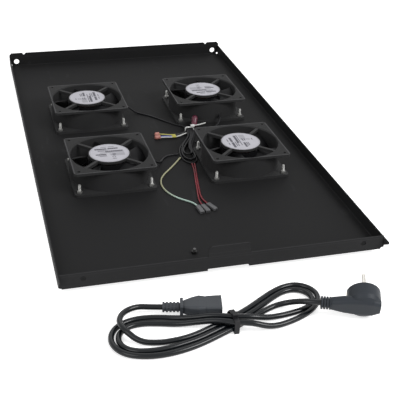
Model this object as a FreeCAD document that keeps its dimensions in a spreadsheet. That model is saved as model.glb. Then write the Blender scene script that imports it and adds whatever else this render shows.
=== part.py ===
import FreeCAD, Part
import Sketcher
import math
import os
import re

# A rack fan tray: a shallow sheet-steel tray with four turned-up flanges, four 120 mm axial
# fans bolted over round cut-outs, wire finger guards beneath, the fans' harness tied in the
# middle, and the mains lead that belongs to it lying in front.
# Millimetres, +Z up, +Y to the back. The origin is on the floor under the tray's middle.

V = FreeCAD.Vector
doc = FreeCAD.newDocument("rack_fan_tray")
sheet = doc.addObject("Spreadsheet::Sheet", "size")

# ---------------------------------------------------------------- driving dimensions

SIZES = {
    # sheet-steel tray
    "tray_width": 425,
    "tray_depth": 770,
    "sheet_thick": 1.5,
    "bend_radius": 1.5,
    "plate_lift": 7.5,
    "corner_relief": 4,
    "seam_gap": 0.5,
    "side_height": 17,
    "front_height": 20,
    "back_height": 25,
    "back_chamfer": 4,
    "ear_reach": 12.5,
    "ear_foot": 5.5,
    "ear_nose": 3,
    "notch_width": 55,
    "notch_rise": 4.5,
    "notch_inset": 6,
    "tab_height": 35,
    "tab_radius": 5.5,
    "back_hole_dia": 10,
    "back_hole_side": 13,
    "back_hole_rise": 8,
    "vee_side": 28,
    "vee_width": 7.5,
    "vee_depth": 4,
    "front_hole_dia": 7,
    "front_hole_side": 30,
    "front_hole_rise": 12,
    "stud_dia": 4,
    "stud_rise": 7,
    "stud_side": 33.5,
    "stud_inset": 43,
    "stud_nut": 7,
    # fans
    "pitch_x": 204,
    "pitch_y": 217,
    "fan_size": 120,
    "fan_height": 38,
    "fan_corner": 5,
    "flange_thick": 4,
    "barrel_dia": 119,
    "bore_dia": 115,
    "bore_chamfer": 1.5,
    "hole_pitch": 105,
    "hole_dia": 4.5,
    "base_dia": 62,
    "base_thick": 3.5,
    "base_drop": 1,
    "strut_width": 4.5,
    "strut_thick": 4.5,
    "tube_dia": 15,
    "tube_length": 23,
    "boss_size": 8,
    "boss_side": 12,
    "boss_rise": 8,
    "label_dia": 59,
    "label_thick": 0.3,
    # motor
    "shaft_dia": 4,
    "shaft_length": 25,
    "bearing_dia": 11,
    "bearing_width": 4,
    "running_gap": 0.04,
    "fit_gap": 0.02,
    "core_dia": 57.4,
    "core_height": 16,
    "core_rise": 12,
    "slot_inner": 6.5,
    "slot_outer": 17,
    "slot_mouth": 3,
    "coil_width": 3,
    "coil_length": 6.3,
    "coil_start": 10.2,
    "coil_over": 3.4,
    # rotor
    "cup_dia": 63,
    "cup_wall": 2.3,
    "cup_low": 3.5,
    "cup_top": 31,
    "blade_count": 5,
    "blade_thick": 1.6,
    "blade_low": 4.5,
    "blade_high": 31,
    "tip_gap": 1.5,
    "root_chord": 36,
    "tip_chord": 50,
    "blade_camber": 4.5,
    "blade_skew": 14,
    # finger guard and fasteners
    "wire_dia": 1.6,
    "weld": 0.3,
    "ring_first": 13,
    "ring_last": 57,
    "ring_count": 5,
    "eyelet_dia": 9,
    "screw_dia": 4,
    "head_dia": 8,
    "head_height": 2.6,
    "screw_rise": 17,
    "nut_width": 7,
    "nut_height": 3.2,
    # harness
    "lead_dia": 2.8,
    "wire_dia_cover": 2.4,
    "link_dia": 2.2,
    "hank_height": 9,
    "cap_dia": 7,
    "cap_length": 12,
    "sleeve_width": 7,
    "sleeve_height": 4.5,
    "sleeve_length": 19,
    "tie_width": 3,
    "tie_thick": 1.2,
    # mains lead
    "cord_dia": 7,
    "cord_hank_height": 14,
    "pin_dia": 4.8,
    "pin_length": 19,
    "pin_spacing": 19,
    "plug_dia": 40,
    "plug_thick": 25,
    "cord_tie_width": 6,
}

for row, (name, value) in enumerate(SIZES.items(), start=1):
    sheet.set(f"A{row}", name)
    sheet.set(f"B{row}", str(value))
    sheet.setAlias(f"B{row}", name)
doc.recompute()


def bound(text):
    """The expression with each size's name pointed at the sheet."""
    return re.sub(r"[a-z][a-z_]+", lambda word: f"size.{word[0]}" if word[0] in SIZES else word[0], text)


def size(name):
    return float(getattr(sheet, name))


# Places that several pieces share, as expressions in the sizes.
HALF = "tray_width/2"
FRONT = "(ear_reach - tray_depth)/2"
BACK = "(ear_reach + tray_depth)/2"
MIDDLE = "ear_reach/2"
TOP = "(plate_lift + sheet_thick)"
DIAGONAL = math.sqrt(0.5)

# ---------------------------------------------------------------- helpers

parts = []


def body(label, many=False):
    made = doc.addObject("PartDesign::Body", label)
    made.Label = label
    made.AllowCompound = many
    parts.append(made)
    return made


def origin_plane(owner, role):
    return next(plane for plane in owner.Origin.OriginFeatures if plane.Role == role)


def sketch(owner, role="XY_Plane", lift="0"):
    made = owner.newObject("Sketcher::SketchObject", owner.Label + "_sketch")
    made.AttachmentSupport = (origin_plane(owner, role), "")
    made.MapMode = "FlatFace"
    made.setExpression("AttachmentOffset.Base.z", bound(lift))
    return made


def hold(drawing, geometry, point, x, y, rough):
    """Fixes one point of the sketch at two expressions."""
    for kind, text, start in (("DistanceX", x, rough.x), ("DistanceY", y, rough.y)):
        index = drawing.addConstraint(Sketcher.Constraint(kind, -1, 1, geometry, point, start))
        drawing.setExpression(f"Constraints[{index}]", bound(str(text)))


def polygon(drawing, corners):
    first = drawing.GeometryCount
    count = len(corners)
    rough = [V(50 * math.cos(2 * math.pi * i / count), 50 * math.sin(2 * math.pi * i / count), 0)
             for i in range(count)]
    drawing.addGeometry([Part.LineSegment(rough[i], rough[(i + 1) % count]) for i in range(count)])
    drawing.addConstraint([Sketcher.Constraint("Coincident", first + i, 2, first + (i + 1) % count, 1)
                           for i in range(count)])
    for i, (x, y) in enumerate(corners):
        hold(drawing, first + i, 1, x, y, rough[i])


def rectangle(drawing, left, low, right, high):
    polygon(drawing, [(left, low), (right, low), (right, high), (left, high)])


def circle(drawing, radius, x="0", y="0"):
    geometry = drawing.addGeometry(Part.Circle(V(3, 2, 0), V(0, 0, 1), 5))
    index = drawing.addConstraint(Sketcher.Constraint("Radius", geometry, 5))
    drawing.setExpression(f"Constraints[{index}]", bound(radius))
    hold(drawing, geometry, 3, x, y, V(3, 2, 0))


def feature(owner, kind, drawing, length, reverse=False, both_ways=False):
    made = owner.newObject(f"PartDesign::{kind}", f"{owner.Label}_{kind.lower()}")
    made.Profile = drawing
    made.setExpression("Length", bound(length))
    made.Reversed = reverse
    made.Midplane = both_ways
    drawing.Visibility = False
    return made


def pad(owner, drawing, length, **how):
    return feature(owner, "Pad", drawing, length, **how)


def pocket(owner, drawing, length, **how):
    return feature(owner, "Pocket", drawing, length, **how)


def turned(owner, drawing):
    made = owner.newObject("PartDesign::Revolution", owner.Label + "_revolution")
    made.Profile = drawing
    made.ReferenceAxis = (drawing, ["V_Axis"])
    made.Angle = 360
    return made


def edges(shape, test):
    return [f"Edge{i}" for i, edge in enumerate(shape.Edges, start=1) if test(edge)]


def ease(owner, kind, test, amount):
    doc.recompute()
    last = owner.Tip
    names = edges(last.Shape, test)
    made = owner.newObject(f"PartDesign::{kind}", f"{owner.Label}_{kind.lower()}")
    made.Base = (last, names)
    made.setExpression("Radius" if kind == "Fillet" else "Size", bound(amount))
    return made


def place(made, x, y, z, turn=0, lean=0):
    spin = FreeCAD.Rotation(V(0, 0, 1), turn).multiply(FreeCAD.Rotation(V(1, 0, 0), lean))
    made.Placement = FreeCAD.Placement(V(0, 0, 0), spin)
    for axis, text in zip("xyz", (x, y, z)):
        made.setExpression(f"Placement.Base.{axis}", bound(str(text)))


def shaped(label, shape):
    made = doc.addObject("Part::Feature", label)
    made.Label = label
    made.Shape = shape
    parts.append(made)
    return made


def near(value, target, slack=0.01):
    return abs(value - target) < slack


def at(edge, **where):
    """Whether both ends of the edge lie at the given coordinates."""
    return all(near(getattr(vertex.Point, axis), value)
               for vertex in edge.Vertexes for axis, value in where.items())


# ---------------------------------------------------------------- sheet-steel tray

FANS = {1: (-1, -1, 0), 2: (1, -1, 90), 3: (-1, 1, 0), 4: (1, 1, 270)}


def fan_centre(number):
    side, depth, turn = FANS[number]
    return f"{side}*pitch_x/2", f"{MIDDLE} + {depth}*pitch_y/2"


def screw_places():
    """The sixteen screw axes, four round each fan."""
    return [(f"{x} + {i}*hole_pitch/2", f"{y} + {j}*hole_pitch/2")
            for x, y in (fan_centre(number) for number in FANS) for i in (-1, 1) for j in (-1, 1)]


def make_tray():
    tray = body("tray_plate")
    inner = f"({HALF} - corner_relief)"
    fold = "(plate_lift + corner_relief)"
    floor = sketch(tray, lift="plate_lift")
    polygon(floor, [
        (f"-{inner}", FRONT), (inner, FRONT), (inner, f"{FRONT} + corner_relief"),
        (HALF, f"{FRONT} + corner_relief"), (HALF, f"{BACK} - corner_relief"),
        (inner, f"{BACK} - corner_relief"), (inner, BACK), (f"-{inner}", BACK),
        (f"-{inner}", f"{BACK} - corner_relief"), (f"-{HALF}", f"{BACK} - corner_relief"),
        (f"-{HALF}", f"{FRONT} + corner_relief"), (f"-{inner}", f"{FRONT} + corner_relief")])
    pad(tray, floor, "sheet_thick")

    for side in (-1, 1):
        flange = sketch(tray, "YZ_Plane", f"{side}*{HALF}")
        rear = f"{BACK} - sheet_thick - seam_gap"
        polygon(flange, [
            (f"{FRONT} + corner_relief", "plate_lift"), (f"{BACK} - corner_relief", "plate_lift"),
            (f"{BACK} - corner_relief", fold), (rear, fold), (rear, f"{TOP} + side_height"),
            (f"{FRONT} - ear_reach", f"{TOP} + side_height"),
            (f"{FRONT} - ear_reach", f"{TOP} + side_height - ear_nose"),
            (FRONT, f"{TOP} + ear_foot"), (FRONT, fold), (f"{FRONT} + corner_relief", fold)])
        pad(tray, flange, "sheet_thick", reverse=side > 0)

    front = sketch(tray, "XZ_Plane", f"-{FRONT}")
    end = f"({HALF} - sheet_thick - seam_gap)"
    lip = f"{TOP} + front_height"
    polygon(front, [
        (f"-{inner}", "plate_lift"), (inner, "plate_lift"), (inner, fold), (end, fold), (end, lip),
        ("notch_width/2", lip), ("notch_width/2", f"{TOP} + tab_height"),
        ("-notch_width/2", f"{TOP} + tab_height"), ("-notch_width/2", lip),
        (f"-{end}", lip), (f"-{end}", fold), (f"-{inner}", fold)])
    pad(tray, front, "sheet_thick", reverse=True)

    back = sketch(tray, "XZ_Plane", f"-{BACK}")
    rim = f"{TOP} + back_height"
    vee = f"({HALF} - vee_side)"
    right = [(inner, "plate_lift"), (inner, fold), (HALF, fold), (HALF, f"{rim} - back_chamfer"),
             (f"{HALF} - back_chamfer", rim), (f"{vee} + vee_width/2", rim),
             (vee, f"{rim} - vee_depth"), (f"{vee} - vee_width/2", rim)]
    left = [(f"-({x})", z) for x, z in reversed(right)]
    polygon(back, right + left)
    pad(tray, back, "sheet_thick")

    low, high = size("plate_lift"), size("plate_lift") + size("sheet_thick")
    outer_x = size("tray_width") / 2
    ends = ((size("ear_reach") - size("tray_depth")) / 2, (size("ear_reach") + size("tray_depth")) / 2)
    thick = size("sheet_thick")
    outer = [{"x": -outer_x}, {"x": outer_x}, {"y": ends[0]}, {"y": ends[1]}]
    inward = [{"x": thick - outer_x}, {"x": outer_x - thick}, {"y": ends[0] + thick}, {"y": ends[1] - thick}]
    ease(tray, "Fillet", lambda edge: any(at(edge, z=low, **line) for line in outer)
         and edge.Length > 2 * thick, "bend_radius + sheet_thick")
    ease(tray, "Fillet", lambda edge: any(at(edge, z=high, **line) for line in inward)
         and edge.Length > 2 * thick, "bend_radius")

    openings = sketch(tray, lift=TOP)
    for number in FANS:
        circle(openings, "bore_dia/2", *fan_centre(number))
    for x, y in screw_places():
        circle(openings, "hole_dia/2", x, y)
    circle(openings, "stud_dia/2", "-stud_side", f"{FRONT} + stud_inset")
    pocket(tray, openings, "2*sheet_thick")

    back_holes = sketch(tray, "XZ_Plane", f"-{BACK}")
    front_holes = sketch(tray, "XZ_Plane", f"-{FRONT}")
    for side in (-1, 1):
        circle(back_holes, "back_hole_dia/2", f"{side}*({HALF} - back_hole_side)", f"{TOP} + back_hole_rise")
        circle(front_holes, "front_hole_dia/2", f"{side}*({HALF} - front_hole_side)",
               f"{TOP} + front_hole_rise")
    pocket(tray, back_holes, "4*sheet_thick", both_ways=True)
    pocket(tray, front_holes, "4*sheet_thick", both_ways=True)

    notch = sketch(tray, "XZ_Plane", f"-{FRONT}")
    rectangle(notch, "-notch_width/2", "plate_lift - sheet_thick", "notch_width/2", "plate_lift + notch_rise")
    pocket(tray, notch, "2*notch_inset", both_ways=True)
    tab_top = high + size("tab_height")
    ease(tray, "Fillet", lambda edge: near(edge.Length, thick) and at(edge, z=tab_top), "tab_radius")


def make_stud():
    stud = body("earth_stud")
    profile = sketch(stud, "XZ_Plane")
    polygon(profile, [("0", "0"), ("stud_dia/2 - fit_gap", "0"),
                      ("stud_dia/2 - fit_gap", "sheet_thick + stud_rise - 0.5"),
                      ("stud_dia/2 - 0.5", "sheet_thick + stud_rise"), ("0", "sheet_thick + stud_rise")])
    turned(stud, profile)
    place(stud, "-stud_side", f"{FRONT} + stud_inset", "plate_lift")


# ---------------------------------------------------------------- fans


def make_frame(number):
    """Die-cast frame: two square flanges on a round barrel, four struts and the motor's base."""
    frame = body(f"fan_frame_{number}")
    half = "fan_size/2"
    for lift in ("0", "fan_height - flange_thick"):
        square = sketch(frame, lift=lift)
        rectangle(square, f"-{half}", f"-{half}", half, half)
        pad(frame, square, "flange_thick")
        if lift == "0":
            barrel = sketch(frame)
            circle(barrel, "barrel_dia/2")
            pad(frame, barrel, "fan_height")
    holes = sketch(frame, lift="fan_height")
    circle(holes, "bore_dia/2")
    for i in (-1, 1):
        for j in (-1, 1):
            circle(holes, "hole_dia/2", f"{i}*hole_pitch/2", f"{j}*hole_pitch/2")
    pocket(frame, holes, "fan_height")
    corner = size("fan_size") / 2
    ease(frame, "Fillet", lambda edge: near(edge.Length, size("flange_thick")) and
         all(near(abs(v.Point.x), corner) and near(abs(v.Point.y), corner) for v in edge.Vertexes),
         "fan_corner")
    bore = size("bore_dia") / 2
    top = size("fan_height")
    ease(frame, "Chamfer", lambda edge: edge.Curve.TypeId == "Part::GeomCircle"
         and near(edge.Curve.Radius, bore) and (at(edge, z=0) or at(edge, z=top)), "bore_chamfer")

    struts = sketch(frame, lift="fan_height - base_drop")
    for i in (-1, 1):
        for j in (-1, 1):
            corners = [(f"{i}*({reach} - {along}*strut_width/2)*{DIAGONAL}",
                        f"{j}*({reach} + {along}*strut_width/2)*{DIAGONAL}")
                       for reach, along in (("base_dia/4", -1), ("base_dia/4", 1),
                                            ("(bore_dia + barrel_dia)/4", 1),
                                            ("(bore_dia + barrel_dia)/4", -1))]
            polygon(struts, corners)
    pad(frame, struts, "strut_thick", reverse=True)
    base = sketch(frame, lift="fan_height - base_drop")
    circle(base, "base_dia/2")
    pad(frame, base, "base_thick", reverse=True)
    tube = sketch(frame, lift="fan_height - base_drop - base_thick")
    circle(tube, "tube_dia/2")
    pad(frame, tube, "tube_length", reverse=True)
    seat = sketch(frame, lift="fan_height - base_drop - base_thick")
    circle(seat, "bearing_dia/2")
    pocket(frame, seat, "tube_length")
    boss = sketch(frame, lift="boss_rise")
    rectangle(boss, "bore_dia/2 - bore_chamfer/2", "boss_side - boss_size/2", half, "boss_side + boss_size/2")
    pad(frame, boss, "boss_size")
    return frame


def make_motor(number):
    """Stator core, its four windings and the two ball bearings, all carried by the frame."""
    core = body(f"stator_core_{number}")
    disc = sketch(core, lift="core_rise")
    circle(disc, "core_dia/2")
    circle(disc, "tube_dia/2 + fit_gap")
    pad(core, disc, "core_height")
    slots = sketch(core, lift="core_rise + core_height")
    mouth = f"slot_mouth/2*{DIAGONAL}"
    for i in (-1, 1):
        for j in (-1, 1):
            polygon(slots, [
                (f"{i}*slot_inner", f"{j}*slot_inner"), (f"{i}*slot_outer", f"{j}*slot_inner"),
                (f"{i}*slot_outer", f"{j}*(slot_outer - 2*{mouth})"),
                (f"{i}*core_dia/2", f"{j}*(core_dia/2 - 2*{mouth})"),
                (f"{i}*(core_dia/2 - 2*{mouth})", f"{j}*core_dia/2"),
                (f"{i}*(slot_outer - 2*{mouth})", f"{j}*slot_outer"),
                (f"{i}*slot_inner", f"{j}*slot_outer")])
    pocket(core, slots, "core_height")

    coil = body(f"stator_coil_{number}", many=True)
    outer = sketch(coil, lift="core_rise - coil_over")
    inner = "(slot_inner + 0.2)"
    wide = f"({inner} + coil_width)"
    far = "(coil_start + coil_length)"
    rectangle(outer, "coil_start", f"-{wide}", far, wide)
    rectangle(outer, f"-{far}", f"-{wide}", "-coil_start", wide)
    rectangle(outer, f"-{wide}", "coil_start", wide, far)
    rectangle(outer, f"-{wide}", f"-{far}", wide, "-coil_start")
    pad(coil, outer, "core_height + 2*coil_over")
    window = sketch(coil, lift="core_rise + core_height + 0.2")
    rectangle(window, "0", f"-{inner}", f"{far} + 1", inner)
    rectangle(window, f"-{far} - 1", f"-{inner}", "0 - 0.001", inner)
    pocket(coil, window, "core_height + 0.4")
    cross = sketch(coil, lift="core_rise + core_height + 0.2")
    rectangle(cross, f"-{inner}", f"-{far} - 1", inner, f"{far} + 1")
    pocket(coil, cross, "core_height + 0.4")

    bearings = body(f"bearings_{number}", many=True)
    rings = sketch(bearings, "XZ_Plane")
    base = "(fan_height - base_drop - base_thick)"
    bore = "shaft_dia/2 + running_gap"
    rim = "bearing_dia/2 - fit_gap"
    rectangle(rings, bore, f"{base} - tube_length", rim, f"{base} - tube_length + bearing_width")
    rectangle(rings, bore, f"{base} - bearing_width", rim, base)
    turned(bearings, rings)

    label = body(f"fan_label_{number}")
    disc = sketch(label, lift="fan_height - base_drop")
    circle(disc, "label_dia/2")
    pad(label, disc, "label_thick")
    return core, coil, bearings, label


def blade_section(radius, chord, turn):
    """One closed blade section, on the plane at this radius, turned about the fan's axis."""
    rise = size("blade_high") - size("blade_low")
    middle = (size("blade_high") + size("blade_low")) / 2
    pitch = math.asin(min(0.95, rise / chord))
    along = V(0, math.cos(pitch), math.sin(pitch))
    across = V(0, -math.sin(pitch), math.cos(pitch))
    centre = V(radius, 0, middle)
    wall = size("blade_thick") / 2
    inset = wall * math.cos(pitch)
    start = centre - along * (chord / 2 - inset)
    end = centre + along * (chord / 2 - inset)
    crown = centre + across * size("blade_camber")
    upper = Part.Arc(start + across * wall, crown + across * wall, end + across * wall).toShape()
    lower = Part.Arc(end - across * wall, crown - across * wall, start - across * wall).toShape()
    nose = Part.makeLine(end + across * wall, end - across * wall)
    tail = Part.makeLine(start - across * wall, start + across * wall)
    wire = Part.Wire([upper, nose, lower, tail])
    wire.rotate(V(0, 0, 0), V(0, 0, 1), turn)
    return wire


def rotor_shape():
    """A drawn cup with a bored boss, and lofted, cambered blades trimmed to a round tip."""
    outer = size("cup_dia") / 2
    wall = size("cup_wall")
    low = size("cup_low")
    top = size("cup_top")
    bore = size("shaft_dia") / 2 + 0.01
    boss_top = size("fan_height") - size("base_drop") - size("base_thick") - size("tube_length") - 0.6
    profile = [(bore, low), (outer - wall, low), (outer, low + wall), (outer, top), (outer - wall, top),
               (outer - wall, low + 1.6 * wall), (outer - 1.6 * wall, low + wall),
               (2.4 * bore, low + wall), (2.4 * bore, boss_top), (bore, boss_top)]
    face = Part.Face(Part.makePolygon([V(x, 0, z) for x, z in profile + profile[:1]]))
    cup = face.revolve(V(0, 0, 0), V(0, 0, 1), 360)
    tip = size("bore_dia") / 2 - size("tip_gap")
    sections = [blade_section(outer - wall / 2, size("root_chord"), 0),
                blade_section((outer + tip) / 2, (size("root_chord") + size("tip_chord")) / 2,
                              size("blade_skew") / 2),
                blade_section(tip + 1, size("tip_chord"), size("blade_skew"))]
    blade = Part.makeLoft(sections, True, True)
    blade = blade.common(Part.makeCylinder(tip, size("fan_height")))
    blade = blade.cut(Part.makeCylinder(outer - wall / 2, size("fan_height")))
    count = int(size("blade_count"))
    blades = []
    for i in range(count):
        copy = blade.copy()
        copy.rotate(V(0, 0, 0), V(0, 0, 1), 360 * i / count)
        blades.append(copy)
    return cup.multiFuse(blades).removeSplitter()


def make_shaft(number):
    shaft = body(f"rotor_shaft_{number}")
    profile = sketch(shaft, "XZ_Plane")
    polygon(profile, [("0", "cup_low"), ("shaft_dia/2 - 0.4", "cup_low"), ("shaft_dia/2", "cup_low + 0.4"),
                      ("shaft_dia/2", "cup_low + shaft_length"), ("0", "cup_low + shaft_length")])
    turned(shaft, profile)
    return shaft


def make_guard(number):
    """Wire finger guard: rings welded on two crossed ribs that step up to four eyelets."""
    guard = body(f"finger_guard_{number}")
    reach = f"hole_pitch*{DIAGONAL}"
    leg = f"({reach} - eyelet_dia/2 + wire_dia)"
    knee = "(ring_last + wire_dia)"
    shoulder = f"({reach} - head_dia/2 - 0.6)"
    for role in ("XZ_Plane", "YZ_Plane"):
        rib = sketch(guard, role)
        low, high = "plate_lift - wire_dia", "plate_lift"
        under = [(leg, low), (leg, high), (shoulder, high), (f"{knee} - wire_dia/2", "wire_dia")]
        over = [(f"-{x}" if x[0] == "(" else f"-({x})", z) for x, z in reversed(under)]
        polygon(rib, [(knee, "0"), (shoulder, low)] + under + over + [(f"-{shoulder}", low), (f"-{knee}", "0")])
        pad(guard, rib, "wire_dia", both_ways=True)
    rings = sketch(guard, lift="wire_dia - weld")
    for i in range(int(size("ring_count"))):
        radius = f"ring_first + (ring_last - ring_first)*{i}/(ring_count - 1)"
        circle(rings, f"{radius} - wire_dia/2")
        circle(rings, f"{radius} + wire_dia/2")
    pad(guard, rings, "wire_dia")
    eyelets = sketch(guard, lift="plate_lift - wire_dia")
    for x, y in ((reach, "0"), (f"-{reach}", "0"), ("0", reach), ("0", f"-{reach}")):
        circle(eyelets, "eyelet_dia/2", x, y)
        circle(eyelets, "hole_dia/2", x, y)
    pad(guard, eyelets, "wire_dia")
    return guard


def make_fans():
    rotor = rotor_shape()
    for number in FANS:
        side, depth, turn = FANS[number]
        x, y = fan_centre(number)
        placed = [make_frame(number), *make_motor(number), make_shaft(number)]
        spinner = shaped(f"rotor_{number}", rotor.copy())
        for made in placed + [spinner]:
            place(made, x, y, TOP, turn)
        place(make_guard(number), x, y, "0", 45)


def make_fasteners():
    screws = body("fan_screws", many=True)
    heads = sketch(screws, lift="plate_lift - wire_dia - head_height")
    shanks = sketch(screws, lift="plate_lift - wire_dia")
    nuts = body("fan_nuts", many=True)
    hexagons = sketch(nuts, lift=f"{TOP} + flange_thick")
    across = [(f"nut_width/2/{math.cos(math.pi / 6)}*{math.cos(math.pi * i / 3)}",
               f"nut_width/2/{math.cos(math.pi / 6)}*{math.sin(math.pi * i / 3)}") for i in range(6)]
    for x, y in screw_places():
        circle(heads, "head_dia/2", x, y)
        circle(shanks, "screw_dia/2", x, y)
        polygon(hexagons, [(f"{x} + {i}", f"{y} + {j}") for i, j in across])
        circle(hexagons, "screw_dia/2 + fit_gap", x, y)
    pad(screws, heads, "head_height")
    pad(screws, shanks, f"wire_dia + sheet_thick + screw_rise")
    pad(nuts, hexagons, "nut_height")


# ---------------------------------------------------------------- cords

PLATE = size("plate_lift") + size("sheet_thick")
LEAD = PLATE + size("lead_dia") / 2
WIRE = PLATE + size("wire_dia_cover") / 2
EXIT = PLATE + size("boss_rise") + size("boss_size") / 2
CAP = PLATE + size("cap_dia") / 2
SPADE = PLATE + size("sleeve_height") / 2
CORD = size("cord_dia") / 2
OVER = CORD + size("cord_dia") + 0.8
BAND = 1.2
SOCKET = 8.75
ENTRY = 18.7

# Each cord's corner points, from where it leaves to where it ends.
ROUTES = {
    "fan_lead_1": [(-42, -90.25, EXIT), (-33, -90.25, EXIT), (-25, -87, EXIT - 6), (-18, -78.5, LEAD),
                   (-12, -67, LEAD), (-3, -59, LEAD), (6.5, -57, LEAD), (15.4, -57, LEAD)],
    "fan_lead_2": [(90, -42.25, EXIT), (90, -33, EXIT), (87, -25, EXIT - 5.5), (79.5, -19.5, LEAD),
                   (70, -17, LEAD), (60.5, -17.5, LEAD), (52.9, -19.8, LEAD)],
    "fan_lead_3": [(-42, 126.75, EXIT), (-33, 126.75, EXIT), (-25, 122.5, EXIT - 6), (-16.5, 115, LEAD),
                   (-6, 106.5, LEAD), (4.5, 96.5, LEAD), (14, 84.5, LEAD), (23, 72, LEAD), (32, 60.5, LEAD),
                   (41, 50.5, LEAD), (48.5, 43, LEAD + 1), (51, 34.2, LEAD + 1.5)],
    "fan_lead_4": [(114, 54.75, EXIT), (114, 45.5, EXIT), (110, 37.5, EXIT - 5.5), (101.5, 31, LEAD),
                   (91, 27.5, LEAD), (80.5, 25.5, LEAD), (70, 25, LEAD), (60.1, 27, LEAD + 0.5)],
    "supply_lead_1": [(27.6, -94.7, WIRE + 1), (27, -106, WIRE), (24.4, -122, WIRE), (20.6, -140, WIRE),
                      (17.2, -158, WIRE), (13.9, -176, WIRE), (10.6, -192, WIRE), (8.8, -204, WIRE),
                      (8, -213.5, SPADE - 0.5), (8.8, -222.5, SPADE)],
    "supply_lead_2": [(31.6, -94.7, WIRE + 1), (30.9, -106, WIRE), (28.4, -122, WIRE), (24.6, -140, WIRE),
                      (21.2, -158, WIRE), (17.9, -176, WIRE), (15.6, -191, WIRE), (14.9, -202, WIRE),
                      (15.3, -211.5, SPADE - 0.5), (17.3, -220, SPADE)],
    "earth_lead": [(14.7, -70.9, WIRE + 1), (8, -79.5, WIRE), (-1.5, -92.5, WIRE), (-12.5, -106.5, WIRE),
                   (-23, -119, WIRE), (-30.5, -132.5, WIRE), (-34, -148, WIRE), (-33, -165, WIRE),
                   (-27.5, -181, WIRE), (-18.5, -194.5, WIRE), (-8.5, -204.5, WIRE), (-1.2, -213, SPADE - 0.5),
                   (1.5, -223.5, SPADE)],
    "link_wire_white": [(0.6, 4.6, CAP), (9, 4, CAP), (18, 2.2, CAP), (27, 2.4, CAP), (35, 5.8, CAP),
                        (41.3, 10.4, CAP), (47.1, 13.1, CAP)],
    "link_wire_blue": [(0.5, 7.4, CAP), (9, 7.5, CAP), (18, 6.1, CAP), (27, 6.2, CAP), (35, 9.2, CAP),
                       (41.3, 13.6, CAP), (47.1, 15.9, CAP)],
    "link_wire_yellow": [(1.4, 17.4, CAP), (9, 15, CAP), (18, 11, CAP), (27, 10.2, CAP), (35, 12.6, CAP),
                         (41.3, 16.8, CAP), (47.1, 18.8, CAP)],
    "power_cord": [
        (-99.6, -438.1, SOCKET), (-112, -435.3, SOCKET), (-130, -433, SOCKET + 2), (-147, -441, OVER),
        (-155, -457, OVER), (-151, -474, OVER), (-137, -488, CORD), (-117, -494.5, CORD),
        (-96, -494.5, CORD), (-74, -490.5, CORD), (-50, -481.5, CORD + BAND), (-26, -471, CORD + BAND),
        (-3, -458.5, CORD), (19, -444, CORD), (39, -431, CORD), (57, -423.5, CORD), (73, -423, CORD),
        (85.5, -431.5, CORD), (91, -446, CORD), (87, -461, CORD), (75.5, -473.5, CORD),
        (60, -483.5, CORD), (42, -490.5, CORD), (24, -495, CORD), (9, -497, CORD + 3), (-7, -495, OVER + BAND), (-28, -488.5, OVER + BAND),
        (-48, -480.5, OVER + BAND), (-68, -473.5, CORD + 4.5), (-88, -467, CORD), (-108, -461, CORD),
        (-126, -457, CORD), (-142, -460, CORD), (-153.5, -469.5, CORD), (-157.5, -483, CORD),
        (-152.5, -495.5, CORD), (-141, -503, CORD), (-125, -506.5, CORD), (-108, -506, CORD), (-90, -502.5, CORD),
        (-70, -497.5, CORD), (-48, -489, CORD + BAND), (-26, -479.5, CORD + BAND), (-3, -467, CORD),
        (18, -455, CORD), (36, -444, CORD), (54, -437.5, CORD), (69, -439, CORD), (77.5, -449.5, CORD),
        (73.5, -462, CORD), (61, -471.5, CORD), (46, -476, CORD), (31, -478, CORD), (14, -482, CORD + 3),
        (-5, -483.5, OVER + BAND), (-26, -479, OVER + BAND), (-48, -471, OVER + BAND),
        (-68, -464, CORD + 4), (-88, -456, CORD), (-108, -449.5, CORD), (-128, -446.5, CORD),
        (-147, -450, CORD), (-161, -460, CORD), (-168, -476, CORD), (-165.5, -493, CORD),
        (-154.5, -506.5, CORD), (-136, -513.5, CORD), (-116, -515.5, CORD), (-94, -513, CORD),
        (-72, -507, CORD), (-48, -498, CORD + BAND), (-26, -488, CORD + BAND), (-3, -475.5, CORD),
        (16, -465.5, CORD), (33, -460, CORD + 1), (48, -463, CORD + 5), (58.5, -471, CORD + 11),
        (68, -479.5, ENTRY), (79.2, -483.6, ENTRY)],
}


def tube(label, points, diameter):
    """A round section swept along straight runs joined by tangent arcs."""
    corners = [V(*point) for point in points]
    runs = [after - before for before, after in zip(corners, corners[1:])]
    pieces = []
    radii = []
    start = corners[0]
    for i in range(1, len(corners) - 1):
        before, after = runs[i - 1], runs[i]
        turn = before.getAngle(after)
        reach = 0.45 * min(before.Length, after.Length)
        radius = reach / math.tan(turn / 2)
        radii.append(round(radius))
        enter = corners[i] - V(before) / before.Length * reach
        leave = corners[i] + V(after) / after.Length * reach
        inward = V(after) / after.Length - V(before) / before.Length
        inward = inward / inward.Length
        centre = corners[i] + inward * (radius / math.cos(turn / 2))
        crown = centre - inward * radius
        pieces.append(Part.LineSegment(start, enter).toShape())
        pieces.append(Part.Arc(enter, crown, leave).toShape())
        start = leave
    pieces.append(Part.LineSegment(start, corners[-1]).toShape())
    spine = Part.Wire(pieces)
    section = Part.Wire([Part.Circle(corners[0], runs[0], diameter / 2).toShape()])
    made = spine.makePipeShell([section], True, False)
    if abs(made.Volume / (math.pi * diameter ** 2 / 4 * spine.Length) - 1) > 0.01:
        raise ValueError(label + " is not a sound tube")
    print(f"{label}: {diameter} mm across, {spine.Length:.0f} mm long, bends of radius {radii} mm")
    return made


def make_cords():
    across = {"fan_lead": "lead_dia", "supply_lead": "wire_dia_cover", "earth_lead": "wire_dia_cover",
              "link_wire": "link_dia", "power_cord": "cord_dia"}
    for label, points in ROUTES.items():
        name = next(value for prefix, value in across.items() if label.startswith(prefix))
        shaped(label, tube(label, points, size(name)))


# ---------------------------------------------------------------- harness


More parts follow.
